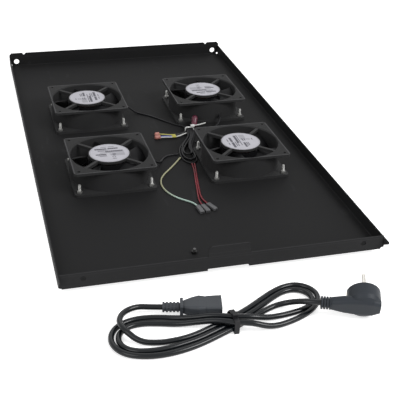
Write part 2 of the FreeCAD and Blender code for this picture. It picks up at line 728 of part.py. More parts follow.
def make_hank():
    hank = body("lead_hank")
    outline = sketch(hank, lift=TOP)
    polygon(outline, [("60", "34"), ("47.5", "34"), ("47.5", "7"), ("31", "-15"), ("20.5", "-33"),
                      ("15.5", "-52"), ("15.5", "-80"), ("22.5", "-94.5"), ("35", "-94.5"), ("41.5", "-84"),
                      ("41.5", "-46"), ("47", "-33"), ("60", "1")])
    pad(hank, outline, "hank_height")
    groove = sketch(hank, lift=TOP)
    rectangle(groove, "47", "22 - tie_width", "61", "22 + tie_width")
    pocket(hank, groove, "tie_thick", reverse=True)

    tie = body("harness_tie")
    ring = sketch(tie, "XZ_Plane", "-22")
    crest = f"{TOP} + hank_height"
    rectangle(ring, "47.5 - tie_thick", TOP, "60 + tie_thick", f"{crest} + tie_thick")
    rectangle(ring, "47.5", f"{TOP} + tie_thick", "60", crest)
    pad(tie, ring, "tie_width", both_ways=True)
    knot = sketch(tie, "XZ_Plane", "-22")
    polygon(knot, [("56", f"{crest} + tie_thick/2"), ("62.5", f"{crest} + tie_thick/2"), ("62.5", f"{crest} + 2.6"),
                   ("82", f"{crest} + 6"), ("81.8", f"{crest} + 7"), ("61.5", f"{crest} + 4.2"),
                   ("56", f"{crest} + 4.2")])
    pad(tie, knot, "tie_width", both_ways=True)


def turned_box(length, width, height, at_point, heading, inset=0):
    """A box whose rear face is centred at the point or that far past it, along the heading in degrees."""
    box = Part.makeBox(length, width, height, V(inset, -width / 2, -height / 2))
    box.rotate(V(0, 0, 0), V(0, 0, 1), heading)
    box.translate(V(*at_point))
    return box


def make_harness_ends():
    caps = body("crimp_caps_coral", many=True)
    across = sketch(caps, "YZ_Plane", "0.5")
    circle(across, "cap_dia/2", "6", f"{TOP} + cap_dia/2")
    pad(caps, across, "cap_length", reverse=True)
    second = sketch(caps, "YZ_Plane", "1")
    circle(second, "cap_dia/2", "17.5", f"{TOP} + cap_dia/2")
    pad(caps, second, "0.8*cap_length", reverse=True)

    cap = body("crimp_cap_magenta")
    disc = sketch(cap)
    circle(disc, "cap_dia/2 + 1", "0", "0")
    pad(cap, disc, "1.6*cap_length")
    place(cap, "66", "37", f"{TOP} + cap_dia/2", -20, -45)

    sleeves, blades = [], []
    for point, heading in (((1.5, -223.5, SPADE), -84), ((8.8, -222.5, SPADE), -79), ((17.3, -220, SPADE), -70)):
        outer = turned_box(size("sleeve_length"), size("sleeve_width"), size("sleeve_height"), point, heading)
        cavity = turned_box(size("sleeve_length") - 3, 5.4, 2.4, point, heading)
        mouth = turned_box(size("sleeve_length"), 5.6, 1.6, point, heading)
        sleeves.append(outer.cut(cavity).cut(mouth))
        blades.append(turned_box(size("sleeve_length") - 3.6, 5.3, 2.3, point, heading, 0.5))
    shaped("terminal_sleeves", Part.makeCompound(sleeves))
    shaped("blade_terminals", Part.makeCompound(blades))

    nut = body("earth_nut")
    drawing = sketch(nut, lift=TOP)
    circle(drawing, "stud_dia/2")
    across = "stud_nut/2/0.8660254"
    polygon(drawing, [(f"{across}*{math.cos(math.pi * i / 3)}", f"{across}*{math.sin(math.pi * i / 3)}")
                      for i in range(6)])
    pad(nut, drawing, "nut_height")
    place(nut, "-stud_side", f"{FRONT} + stud_inset", "0")


# ---------------------------------------------------------------- mains lead


def rounded_section(x, width, height, corner):
    """A rounded rectangle across the X axis."""
    half, tall = width / 2 - corner, height / 2 - corner
    centres = [(half, tall, 0), (-half, tall, 90), (-half, -tall, 180), (half, -tall, 270)]
    pieces = []
    points = []
    for y, z, start in centres:
        turns = [math.radians(start + step) for step in (0, 45, 90)]
        points.append([V(x, y + corner * math.cos(a), z + corner * math.sin(a)) for a in turns])
    for i, (first, middle, last) in enumerate(points):
        pieces.append(Part.Arc(first, middle, last).toShape())
        pieces.append(Part.makeLine(last, points[(i + 1) % 4][0]))
    return Part.Wire(pieces)


def ribbed(start, end, radius, count, depth=1):
    """A round sleeve about the X axis with square grooves round it."""
    step = (end - start) / count
    outline = [V(start, 0, 0)]
    for i in range(count):
        x = start + i * step
        outline += [V(x, 0, radius), V(x + step * 0.55, 0, radius),
                    V(x + step * 0.55, 0, radius - depth), V(x + step, 0, radius - depth)]
    outline += [V(end, 0, 0)]
    return Part.Face(Part.makePolygon(outline + outline[:1])).revolve(V(0, 0, 0), V(1, 0, 0), 360)


def make_connector():
    turn = math.degrees(math.atan2(-14.9, 66.6))
    where = FreeCAD.Placement(V(-99.6, -438.1, SOCKET), FreeCAD.Rotation(V(0, 0, 1), turn))
    grip = Part.makeLoft([rounded_section(23, 13, 10, 2), rounded_section(32, 21, 14, 3),
                          rounded_section(42, 27, 17.5, 4), rounded_section(51, 24, 16, 3)], True, True)
    nose = Part.makeLoft([rounded_section(51, 25, 16, 2.5), rounded_section(69, 27, 17, 2.5)], True, True)
    collar = Part.makeLoft([rounded_section(20.5, 19, 16, 3), rounded_section(24, 19, 16, 3)], True, True)
    housing = ribbed(0, 21, 6.2, 5, 1.2).fuse([collar, grip, nose])
    slots = [(0, 3), (-7, -3), (7, -3)]
    contacts = []
    for y, z in slots:
        housing = housing.cut(Part.makeBox(16, 2.6, 6, V(54, y - 1.3, z - 3)))
        contacts.append(Part.makeBox(14, 2.5, 5.9, V(54, y - 1.25, z - 2.95)))
    made = shaped("connector_housing", housing.removeSplitter())
    made.Placement = where
    inner = shaped("connector_contacts", Part.makeCompound(contacts))
    inner.Placement = where


def make_plug():
    turn = FreeCAD.Rotation(V(0, 0, 1), PLUG_HEADING).multiply(FreeCAD.Rotation(V(1, 0, 0), -PLUG_TILT))
    centre = V(*ROUTES["power_cord"][-1]) - turn.multVec(V(-50, 0, 12.5))
    where = FreeCAD.Placement(centre, turn)
    radius = size("plug_dia") / 2
    back = radius * 0.35
    face = back + size("plug_thick")
    grip = Part.makeLoft([rounded_section(-38, 15, 11, 4), rounded_section(-24, 22, 12, 4.5),
                          rounded_section(-6, 27, 12.5, 5), rounded_section(10, 26, 12.5, 5),
                          rounded_section(18.5, 18, 11, 5)], True, True)
    relief = ribbed(-50, -37, 7.6, 4, 2)
    for piece in (grip, relief):
        piece.translate(V(0, 0, 12.5))
    rim = [V(0, 0, back), V(0.55 * radius, 0, back), V(0.88 * radius, 0, back + 3.5),
           V(radius, 0, back + 8), V(radius, 0, face - 1), V(radius - 1, 0, face), V(0, 0, face)]
    head = Part.Face(Part.makePolygon(rim + rim[:1])).revolve(V(0, 0, 0), V(0, 0, 1), 360)
    plug = grip.fuse([relief, head])
    pins, clips = [], []
    for side in (-1, 1):
        across = side * size("pin_spacing") / 2
        pins.append(Part.makeCylinder(size("pin_dia") / 2, size("pin_length") + 6, V(0, across, face - 6)))
        plug = plug.cut(Part.makeCylinder(size("pin_dia") / 2 + 0.02, 6, V(0, across, face - 6)))
        slot = Part.makeBox(1.5, 6, 14, V(side * (radius - 0.75) - 0.75, -3, face - 14))
        plug = plug.cut(slot)
        clips.append(Part.makeBox(1.2, 5.8, 13, V(side * (radius - 0.85) - 0.6, -2.9, face - 14)))
    for label, shape in (("plug_body", plug.removeSplitter()), ("plug_pins", Part.makeCompound(pins)),
                         ("plug_earth_clips", Part.makeCompound(clips))):
        made = shaped(label, shape)
        made.Placement = where


def make_cord_tie():
    tie = body("cord_tie")
    ring = sketch(tie, "YZ_Plane", "-26")
    polygon(ring, [("-495", "0"), ("-464.6", "0"), ("-464.6", "9"), ("-471.5", "17.3"), ("-495", "17.3")])
    polygon(ring, [("-494", "1"), ("-465.6", "1"), ("-465.6", "8.6"), ("-472", "16.3"), ("-494", "16.3")])
    pad(tie, ring, "cord_tie_width", both_ways=True)
    knot = sketch(tie, lift="16.8")
    rectangle(knot, "-26 - cord_tie_width/2", "-487", "-26 + cord_tie_width/2", "-480")
    pad(tie, knot, "4")


PLUG_TILT = 75
PLUG_HEADING = -20

make_tray()
make_stud()
make_fans()
make_fasteners()
make_hank()
make_harness_ends()
make_cords()
make_connector()
make_plug()
make_cord_tie()

doc.recompute()
for made in parts:
    if "Invalid" in made.State or "Error" in made.State:
        raise ValueError(made.Label + " did not compute")
    if made.Shape.isNull() or not made.Shape.isValid():
        raise ValueError(made.Label + " has no sound shape")

os.makedirs("parts", exist_ok=True)
for made in parts:
    made.Shape.exportStep(f"parts/{made.Label}.step")
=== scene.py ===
import math

import bmesh
import bpy
from mathutils import Matrix, Vector


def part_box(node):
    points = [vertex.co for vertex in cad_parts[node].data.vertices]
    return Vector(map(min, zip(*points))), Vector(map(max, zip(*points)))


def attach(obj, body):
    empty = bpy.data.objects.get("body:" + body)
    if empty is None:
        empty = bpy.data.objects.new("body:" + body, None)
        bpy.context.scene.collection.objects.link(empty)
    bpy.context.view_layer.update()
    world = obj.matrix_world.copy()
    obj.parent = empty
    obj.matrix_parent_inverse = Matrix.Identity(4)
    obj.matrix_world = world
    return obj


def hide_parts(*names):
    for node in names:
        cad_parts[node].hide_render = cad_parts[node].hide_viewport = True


# Dresses the rack fan tray. The solids get their paint, plating and foil, and the plainer ones make way
# for round-wire finger guards, threaded screws, the tied harness with its caps and terminals, and the
# mains cord. Sizes and points are in millimetres, which MM turns into metres, unless metres are named.

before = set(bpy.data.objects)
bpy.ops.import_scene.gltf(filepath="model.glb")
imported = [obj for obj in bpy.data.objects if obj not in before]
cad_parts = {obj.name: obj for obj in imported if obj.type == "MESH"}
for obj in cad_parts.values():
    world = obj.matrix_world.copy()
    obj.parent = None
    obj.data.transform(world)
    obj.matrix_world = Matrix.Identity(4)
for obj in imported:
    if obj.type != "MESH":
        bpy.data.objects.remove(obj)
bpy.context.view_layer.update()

MM = 0.001
MERGE = 0.000002  # vertices closer than this become one, in metres
CREASE = 35  # edges sharper than this stay crisp, in degrees

FLOOR_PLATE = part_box("fan_frame_1")[0][2]  # the top of the tray's plate, which the fans stand on
FAN_TOP = FLOOR_PLATE + 37.85 * MM  # just under the fans' top faces
FRONT_FACE = -0.3785  # just behind the front flange's outer face, along Y in metres
FLANGE_RIMS = (26, 29, 34, 44)  # heights of the flanges' cut edges, which get a painted highlight
HOLE_PITCH = 105  # from one screw hole of a fan to the next
FAN_HALF, LABEL_HALF = 61, 30  # just past half a fan's and half a label's width
LABEL_TURNS = {1: 0, 2: 90, 3: 270, 4: 180}  # how far each fan's label is turned, in degrees
EARTH_FADE = (-0.148, -0.185)  # where the earth wire fades from yellow to green, along Y in metres
TAPE = (23.5, 3.5)  # middle and half length, along X, of the tape round the link wires
GUARD_WIRE = 1.6  # thickness of the finger guards' wire
LEAD, WIRE, LINK, MAINS = 2.8, 2.4, 2.2, 7  # diameters of the four sorts of cord

FANS = {}  # the middle of each fan
for n in (1, 2, 3, 4):
    low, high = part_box(f"fan_frame_{n}")
    FANS[n] = (Vector(low) + Vector(high)) / 2

# ---------------------------------------------------------------- shaders


class Socket:
    """A shader value that Python's arithmetic works on."""

    def __init__(self, finish, socket):
        self.finish = finish
        self.socket = socket

    def _math(self, operation, *values):
        return self.finish.node("ShaderNodeMath", {"operation": operation}, values)

    def __add__(self, other): return self._math("ADD", self, other)
    def __radd__(self, other): return self._math("ADD", other, self)
    def __sub__(self, other): return self._math("SUBTRACT", self, other)
    def __rsub__(self, other): return self._math("SUBTRACT", other, self)
    def __mul__(self, other): return self._math("MULTIPLY", self, other)
    def __pow__(self, other): return self._math("POWER", self, other)
    def __gt__(self, other): return self._math("GREATER_THAN", self, other)
    def __lt__(self, other): return self._math("LESS_THAN", self, other)
    def __abs__(self): return self._math("ABSOLUTE", self)


class Finish:
    """One material: a Principled surface and the nodes that feed it."""

    @classmethod
    def around(cls, world):
        """The world's own nodes, worked in the same way."""
        made = cls.__new__(cls)
        made.tree = world.node_tree
        return made

    def __init__(self, name, **constants):
        self.material = bpy.data.materials.new(name)
        self.material.use_nodes = True
        self.tree = self.material.node_tree
        self.surface = self.tree.nodes["Principled BSDF"]
        for key, value in constants.items():
            self.put(key.replace("_", " ").title().replace("Ior", "IOR"), value)
        self.place = self.node("ShaderNodeTexCoord", {}, [], "Object")

    def node(self, kind, settings, inputs=(), output=0):
        """A new node with its settings and inputs, as the value of one of its outputs."""
        made = self.tree.nodes.new(kind)
        for name, value in settings.items():
            setattr(made, name, value)
        pairs = inputs.items() if isinstance(inputs, dict) else enumerate(inputs)
        for key, value in pairs:
            self.link(value, made.inputs[key])
        return Socket(self, made.outputs[output])

    def outputs(self, kind, inputs=()):
        """Every output of a new node."""
        return self.node(kind, {}, inputs).socket.node.outputs

    def link(self, value, socket):
        if isinstance(value, Socket):
            self.tree.links.new(value.socket, socket)
        else:
            socket.default_value = value

    def put(self, name, value):
        """Feeds one input of the surface."""
        if not isinstance(value, Socket) and name.endswith("Color"):
            value = (*value, 1)
        self.link(value, self.surface.inputs[name])

    def now(self, name):
        """What already feeds the surface."""
        return Socket(self, self.surface.inputs[name].links[0].from_socket)

    def noise(self, scale, detail, stretch=None):
        where = self.place if stretch is None else self.node(
            "ShaderNodeMapping", {}, {"Vector": self.place, "Scale": stretch})
        return self.node("ShaderNodeTexNoise", {}, {
            "Vector": where, "Scale": scale, "Detail": detail}, "Fac")

    def axes(self):
        """The point's own X, Y and Z, in metres."""
        return [Socket(self, part) for part in self.outputs("ShaderNodeSeparateXYZ", [self.place])]

    def blend(self, amount, first, second):
        """A colour between two, by a value from 0 to 1."""
        return self.node("ShaderNodeMix", {"data_type": "RGBA"}, {
            0: amount, 6: first if isinstance(first, Socket) else (*first, 1),
            7: second if isinstance(second, Socket) else (*second, 1)}, 2)

    def clamp(self, value):
        """The value, kept from 0 to 1."""
        return self.node("ShaderNodeClamp", {}, [value])

    def bump(self, height, strength, distance):
        self.put("Normal", self.node("ShaderNodeBump", {}, {
            "Height": height, "Strength": strength, "Distance": distance}))


def mottled(name, dark, light, roughness, grain=600, **constants):
    """A moulded or painted surface: slight cloudiness, uneven sheen and a fine grain."""
    finish = Finish(name, roughness=roughness, **constants)
    cloud = finish.noise(28, 4)
    fine = finish.noise(grain, 2)
    finish.put("Base Color", finish.blend(cloud * 0.7 + fine * 0.3, dark, light))
    finish.put("Roughness", roughness - 0.07 + cloud * 0.14)
    finish.bump(fine, 0.35, 0.05 * MM)
    return finish


def plated(name, dark, light, roughness, metallic=1.0):
    """Plated or bare metal with a faint drawn grain."""
    finish = Finish(name, metallic=metallic)
    grain = finish.noise(260, 5, (1, 1, 0.15))
    finish.put("Base Color", finish.blend(grain, dark, light))
    finish.put("Roughness", roughness - 0.08 + grain * 0.16)
    return finish


def seen(finish):
    """1 for the rays that show the background: the camera's, and those in metal and clear pieces."""
    rays = finish.outputs("ShaderNodeLightPath")
    kinds = ("Is Camera Ray", "Is Glossy Ray", "Is Transmission Ray")
    return finish.clamp(sum((Socket(finish, rays[kind]) for kind in kinds), 0.0))


def near(value, target, slack):
    """1 where a value is within some slack of its target, and 0 elsewhere."""
    return abs(value - target) < slack


def over_fan(x, y, fan, half):
    """1 in a square over the middle of a fan."""
    return near(x, fan.x, half * MM) * near(y, fan.y, half * MM)


def fan_axes(x, y, half):
    """Across and along from the middle of the fan that a point is over, in millimetres."""
    across, along = 0.0, 0.0
    for fan in FANS.values():
        here = over_fan(x, y, fan, half) * (1 / MM)
        across = across + here * (x - fan.x)
        along = along + here * (y - fan.y)
    return across, along


def tray_paint():
    """Dark satin powder coat, greyer on the front as painted light, with a painted highlight along the
    flanges' cut top edges.
    """
    finish = Finish("tray powder coat", specular_ior_level=0.05)
    cloud = finish.noise(9, 5)
    fine = finish.noise(1400, 2)
    _, y, z = finish.axes()
    # painted highlight: a thin band at each flange's cut top edge is picked out lighter
    rim_highlight = sum((near(z, height * MM, 0.25 * MM) for height in FLANGE_RIMS), 0.0)
    paint = finish.blend(cloud * 0.75 + fine * 0.25, (0.0125, 0.0125, 0.013), (0.0215, 0.0215, 0.022))
    scuff = finish.noise(60, 6, (1, 0.25, 1))
    paint = finish.blend((scuff > 0.66) * 0.25, paint, (0.032, 0.032, 0.034))
    # painted light: the front face is made greyer, as if lit from the front
    paint = finish.blend((y < FRONT_FACE) * 0.6, paint, (0.034, 0.034, 0.035))
    # the painted highlight on the flanges' cut top edges goes on last
    finish.put("Base Color", finish.blend((rim_highlight > 0.5) * 0.5, paint, (0.045, 0.045, 0.047)))
    finish.put("Roughness", 0.52 + cloud * 0.16)
    finish.bump(fine, 0.3, 0.06 * MM)
    return finish


def casting_paint():
    """Black enamel over a die-casting, with painted shade making the top face darker, and lighter grey
    along its edges.
    """
    outer_edge = 58.2  # where the lighter strip along the frame's sides starts
    bore_edge, bore_strip = 57.2, 0.9  # middle and half width of the strip round the bore
    finish = Finish("fan casting enamel", specular_ior_level=0.1)
    grain = finish.noise(420, 4)
    cloud = finish.noise(22, 3)
    x, y, z = finish.axes()
    top = z > FAN_TOP
    across, along = fan_axes(x, y, FAN_HALF)
    reach = (across * across + along * along) ** 0.5
    edges = (abs(across) > outer_edge) + (abs(along) > outer_edge) + near(reach, bore_edge, bore_strip)
    paint = finish.blend(cloud, (0.024, 0.024, 0.0245), (0.039, 0.039, 0.040))
    # painted shade: the top face is made darker than the rest of the same enamel
    paint = finish.blend(top * 0.85, paint, (0.014, 0.014, 0.0145))
    # the top face is lighter grey along its outer edges and in a strip round the bore
    lighter_edges = top * (edges > 0.5) * (0.3 + grain)
    finish.put("Base Color", finish.blend(lighter_edges, paint, (0.070, 0.070, 0.073)))
    finish.put("Roughness", 0.46 + grain * 0.2)
    finish.bump(grain, 0.4, 0.08 * MM)
    return finish


# The printing on a label, about its middle: bars by their left, right, lower and upper edges, and thin
# rules by their left and right ends and their height.
BARS = ((-20, -2, 11.8, 15.8), (-0.5, 15, 12, 15.8), (-5, 21, 3.2, 7), (-21, -5, -5.6, -2.2))
RULES = ((-16, 0, 9.4), (-16, -3, 6.6), (-14, 22, 1.4), (-18, -5, -7.4), (-16, -5, -10),
         (0, 9, -4.4), (1, 8, -7.6), (2, 8, -19.5), (-10, -2, 19.6), (1, 10, 19.6))


def label_foil():
    """Violet-grey foil with plain bars and rules, turned a different way on each fan."""
    finish = Finish("label foil", metallic=0.1, specular_ior_level=0.3)
    x, y, _ = finish.axes()
    cloud = finish.noise(40, 3)
    sheet = finish.blend(cloud, (0.44, 0.435, 0.48), (0.56, 0.555, 0.60))
    across, along = fan_axes(x, y, LABEL_HALF)
    right, up = 0.0, 0.0
    for n, fan in FANS.items():
        here = over_fan(x, y, fan, LABEL_HALF)
        turn = math.radians(LABEL_TURNS[n])
        cos, sin = round(math.cos(turn)), round(math.sin(turn))
        right = right + here * (across * cos + along * sin)
        up = up + here * (along * cos - across * sin)

    def patch(left, end, middle, half_height):
        """1 in a rectangle of the label."""
        return near(right, (left + end) / 2, (end - left) / 2) * near(up, middle, half_height)

    line = finish.node("ShaderNodeCombineXYZ", {}, [right])
    gaps = finish.node("ShaderNodeTexWave", {"bands_direction": "X"}, {
        "Vector": line, "Scale": 0.11, "Distortion": 3.0}, "Fac")
    heavy = sum((patch(left, end, (low + high) / 2, (high - low) / 2)
                 for left, end, low, high in BARS), 0.0)
    fine = sum((patch(left, end, middle, 0.8) for left, end, middle in RULES), 0.0)
    badge = near((right - 5) ** 2 + (up + 13.5) ** 2, 5, 2.2)
    rim = near((right * right + up * up) ** 0.5, 28.2, 0.4)
    panel = patch(4, 22, -6, 4.5)
    ink = heavy * (0.75 + gaps * 0.3) + (fine + badge) * 0.75 + rim * 0.3 + panel * 0.3 + 0.03
    finish.put("Base Color", finish.blend(finish.clamp(ink), sheet, (0.05, 0.048, 0.065)))
    finish.put("Roughness", 0.42 + cloud * 0.15)
    return finish


def earth_insulation():
    """The earth wire's insulation: yellow near the hank, green-white at its terminal."""
    finish = Finish("earth insulation", roughness=0.42, specular_ior_level=0.3)
    _, y, _ = finish.axes()
    cloud = finish.noise(90, 3)
    far = finish.node("ShaderNodeMapRange", {}, {
        "Value": y + cloud * 0.02, "From Min": EARTH_FADE[0], "From Max": EARTH_FADE[1]})
    near_end = finish.blend(cloud, (0.36, 0.35, 0.20), (0.50, 0.49, 0.33))
    finish.put("Base Color", finish.blend(far, near_end, (0.46, 0.60, 0.53)))
    finish.put("Roughness", 0.36 + cloud * 0.12)
    return finish


def link_insulation(name, colour, black_from):
    """A link wire: its own colour as far as its black sleeve, with yellow tape round all three."""
    middle, half = TAPE
    finish = mottled(name, [shade * 0.7 for shade in colour], colour, 0.4, specular_ior_level=0.3)
    x, _, _ = finish.axes()
    sleeved = finish.blend(x > black_from * MM, finish.now("Base Color"), (0.010, 0.010, 0.011))
    finish.put("Base Color", finish.blend(near(x, middle * MM, half * MM), sleeved, (0.50, 0.46, 0.10)))
    return finish


COATS = {
    "tray": tray_paint(),
    "casting": casting_paint(),
    "rotor": mottled("rotor moulding", (0.003, 0.003, 0.0035), (0.008, 0.008, 0.009), 0.5,
                     specular_ior_level=0.15),
    "label": label_foil(),
    "zinc": plated("zinc plate", (0.48, 0.48, 0.46), (0.72, 0.72, 0.70), 0.42, 0.55),
    "nut zinc": plated("duller zinc plate", (0.16, 0.16, 0.155), (0.34, 0.34, 0.33), 0.42, 0.8),
    "chrome": plated("guard chrome", (0.55, 0.55, 0.56), (0.85, 0.85, 0.86), 0.2),
    "steel": plated("ground steel", (0.45, 0.45, 0.45), (0.62, 0.62, 0.62), 0.25),
    "lamination": plated("core laminations", (0.16, 0.16, 0.165), (0.28, 0.28, 0.28), 0.45),
    "copper": plated("enamelled copper", (0.16, 0.06, 0.03), (0.28, 0.11, 0.05), 0.4),
    "tin": plated("tinned brass", (0.55, 0.52, 0.42), (0.74, 0.71, 0.62), 0.3),
    "nickel": plated("nickel pins", (0.62, 0.60, 0.56), (0.82, 0.80, 0.76), 0.22),
    "lead": mottled("black lead insulation", (0.005, 0.005, 0.006), (0.014, 0.014, 0.016), 0.42,
                    specular_ior_level=0.2),
    "red": mottled("red insulation", (0.13, 0.010, 0.016), (0.24, 0.026, 0.038), 0.4,
                   specular_ior_level=0.3),
    "earth": earth_insulation(),
    "white": link_insulation("white insulation", (0.68, 0.68, 0.66), 60),
    "blue": link_insulation("blue insulation", (0.09, 0.12, 0.44), 22),
    "yellow": link_insulation("yellow insulation", (0.58, 0.53, 0.16), 22),
    "earth nut": plated("blackened earth nut", (0.02, 0.02, 0.02), (0.06, 0.06, 0.06), 0.5),
    "earth stud": plated("dull earth stud", (0.07, 0.07, 0.07), (0.12, 0.12, 0.12), 0.5, 0.5),
    "coral": mottled("coral nylon", (0.36, 0.13, 0.105), (0.54, 0.24, 0.20), 0.45),
    "magenta": mottled("magenta nylon", (0.055, 0.003, 0.014), (0.12, 0.009, 0.034), 0.34),
    "nylon": mottled("white nylon", (0.66, 0.67, 0.66), (0.80, 0.80, 0.78), 0.38),
    "sleeve": mottled("terminal sleeve", (0.06, 0.06, 0.064), (0.13, 0.13, 0.135), 0.4,
                      specular_ior_level=0.3),
    "cord": mottled("cord sheath", (0.0015, 0.0025, 0.004), (0.004, 0.006, 0.008), 0.2, 300,
                    specular_ior_level=0.32),
    "moulding": mottled("plug moulding", (0.010, 0.014, 0.019), (0.024, 0.029, 0.037), 0.48, 500,
                        specular_ior_level=0.3),
    "connector": mottled("connector moulding", (0.036, 0.040, 0.047), (0.056, 0.062, 0.070), 0.48, 500,
                         specular_ior_level=0.3),
    "black nylon": mottled("black nylon", (0.006, 0.006, 0.007), (0.015, 0.015, 0.017), 0.42,
                           specular_ior_level=0.25),
}


def coat(thing, name):
    thing.data.materials.clear()
    thing.data.materials.append(COATS[name].material)


CAD_COATS = {
    "tray_plate": "tray", "earth_stud": "earth stud", "earth_nut": "earth nut", "fan_screws": "zinc",
    "fan_nuts": "nut zinc", "lead_hank": "lead", "supply_lead_1": "red", "supply_lead_2": "red",
    "earth_lead": "earth", "link_wire_white": "white", "link_wire_blue": "blue",
    "link_wire_yellow": "yellow", "crimp_caps_coral": "coral", "crimp_cap_magenta": "magenta",
    "blade_terminals": "tin", "terminal_sleeves": "sleeve", "harness_tie": "nylon",
    "power_cord": "cord", "connector_housing": "connector", "connector_contacts": "tin",
    "plug_body": "moulding", "plug_pins": "nickel", "plug_earth_clips": "tin", "cord_tie": "black nylon",
}
for n in FANS:
    CAD_COATS |= {
        f"fan_frame_{n}": "casting", f"stator_core_{n}": "lamination", f"stator_coil_{n}": "copper",
        f"fan_label_{n}": "label", f"rotor_{n}": "rotor", f"rotor_shaft_{n}": "steel",
        f"bearings_{n}": "steel", f"finger_guard_{n}": "chrome", f"fan_lead_{n}": "lead",
    }
for node, finish in CAD_COATS.items():
    coat(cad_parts[node], finish)

# ---------------------------------------------------------------- making pieces


def new_object(name, data):
    """An object of the scene."""
    made = bpy.data.objects.new(name, data)
    bpy.context.scene.collection.objects.link(made)
    return made


def piece(name, mesh, finish, node, crisp=True):
    """A finished mesh in place of a solid of the tray, smooth but for its corners."""
    made = new_object(name, mesh)
    coat(made, finish)
    for face in mesh.polygons:
        face.use_smooth = True
    if crisp:
        mesh.set_sharp_from_angle(angle=math.radians(CREASE))
    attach(made, "tray")
    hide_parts(node)
    return made


def as_mesh(bm, name):
    """Closes the seams of a bmesh and turns it into a mesh."""
    bmesh.ops.remove_doubles(bm, verts=bm.verts, dist=MERGE)
    bmesh.ops.recalc_face_normals(bm, faces=bm.faces)
    mesh = bpy.data.meshes.new(name)
    bm.to_mesh(mesh)
    bm.free()
    return mesh


def at(x, y, z, turn=0.0, tilt=0.0):
    """A place in millimetres, tilted about X and then turned about Z, in degrees."""
    return (Matrix.Translation(Vector((x, y, z)) * MM) @ Matrix.Rotation(math.radians(turn), 4, "Z")
            @ Matrix.Rotation(math.radians(tilt), 4, "X"))


def add(target, source, place=Matrix.Identity(4), keep=False):
    """Copies one bmesh into another, placed."""
    mesh = bpy.data.meshes.new("part of a piece")
    source.to_mesh(mesh)
    mesh.transform(place)
    target.from_mesh(mesh)
    bpy.data.meshes.remove(mesh)
    if not keep:
        source.free()


def add_box(target, sides, place=Matrix.Identity(4)):
    """Adds a rectangular block about its middle, placed."""
    size = Matrix.Diagonal((*(side * MM for side in sides), 1))
    bmesh.ops.create_cube(target, size=1, matrix=place @ size)


def bevel(bm, edges, width, segments):
    bmesh.ops.bevel(bm, geom=edges, offset=width * MM, affect="EDGES", segments=segments, profile=0.5,
                    material=-1)


def extrude(bm, faces, vec):
    """Extrudes faces by a vector in metres."""
    made = bmesh.ops.extrude_face_region(bm, geom=faces)["geom"]
    verts = [item for item in made if isinstance(item, bmesh.types.BMVert)]
    bmesh.ops.translate(bm, verts=verts, vec=vec)


def spin(bm, steps):
    """Spins all that a bmesh holds once round Z."""
    bmesh.ops.spin(bm, geom=bm.verts[:] + bm.edges[:], angle=2 * math.pi, steps=steps, axis=(0, 0, 1),
                   cent=(0, 0, 0), use_merge=True)
    bmesh.ops.remove_doubles(bm, verts=bm.verts, dist=MERGE)


def spun(profile, steps):
    """A closed solid spun about Z from (radius, height) pairs that start and end on the axis."""
    bm = bmesh.new()
    verts = [bm.verts.new((radius * MM, 0, height * MM)) for radius, height in profile]
    for pair in zip(verts, verts[1:]):
        bm.edges.new(pair)
    spin(bm, steps)
    bmesh.ops.recalc_face_normals(bm, faces=bm.faces)
    return bm


def flex(name, points, diameter, finish, roundness=3):
    """A smooth line through control points, in millimetres, as a round cord."""
    curve = bpy.data.curves.new(name, "CURVE")
    curve.dimensions = "3D"
    spline = curve.splines.new("NURBS")
    spline.points.add(len(points) - 1)
    for point, place in zip(spline.points, points):
        point.co = (*(Vector(place) * MM), 1)
    spline.order_u = 3
    spline.use_endpoint_u = True
    spline.resolution_u = 8
    curve.bevel_depth = diameter / 2 * MM
    curve.bevel_resolution = roundness
    curve.use_fill_caps = True
    curve.materials.append(COATS[finish].material)
    return new_object(name, curve)


def rod(points, thickness):
    """A round wire bent through its points, as a bmesh."""
    made = flex("wire", points, thickness, "chrome", roundness=2)
    mesh = bpy.data.meshes.new_from_object(made)
    bm = bmesh.new()
    bm.from_mesh(mesh)
    curve = made.data
    bpy.data.objects.remove(made)
    bpy.data.curves.remove(curve)
    bpy.data.meshes.remove(mesh)
    return bm


def cord(name, points, diameter, finish, node):
    """A cord of the harness or the mains lead, in place of its solid."""
    made = flex(name, points, diameter, finish)
    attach(made, "tray")
    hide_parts(node)


# ---------------------------------------------------------------- terminals


def sleeved_terminal(n, rear, heading):
    """A female blade terminal in its sleeve, from the wire's end along its heading."""
    wall, mouth_depth, rear_depth = 0.35, 12, 1.5
    sleeve = bmesh.new()
    add_box(sleeve, (19, 7, 4.5), at(9.5, 0, 0))
    bevel(sleeve, sleeve.edges[:], width=1.1, segments=3)
    for end, depth in ((1, mouth_depth), (-1, rear_depth)):
        mouth = max(sleeve.faces, key=lambda face: face.calc_center_median().x * end + face.calc_area())
        bmesh.ops.inset_region(sleeve, faces=[mouth], thickness=wall * MM)
        extrude(sleeve, [mouth], (-end * depth * MM, 0, 0))
        bmesh.ops.delete(sleeve, geom=[mouth], context="FACES_ONLY")
    sleeve.transform(at(*rear, turn=heading))
    cover = piece(f"terminal_sleeve_{n}", as_mesh(sleeve, "terminal sleeve"), "sleeve",
                  "terminal_sleeves")
    grip = bmesh.new()
    add_box(grip, (8, 4.8, 0.5), at(12, 0, -0.5))
    for edge in (-1, 1):
        add(grip, rod([(x, edge * 2.1, 0.1) for x in (8.2, 12, 15.8)], 1.1))
    grip.transform(at(*rear, turn=heading))
    piece(f"terminal_blade_{n}", as_mesh(grip, "terminal blade"), "tin", "blade_terminals", crisp=False)
    return cover


TERMINALS = [sleeved_terminal(n, rear, heading) for n, rear, heading in (
    (1, (1.5, -223.5, 11.25), -84), (2, (8.8, -222.5, 11.25), -79), (3, (17.3, -220, 11.25), -70))]

# ---------------------------------------------------------------- cords

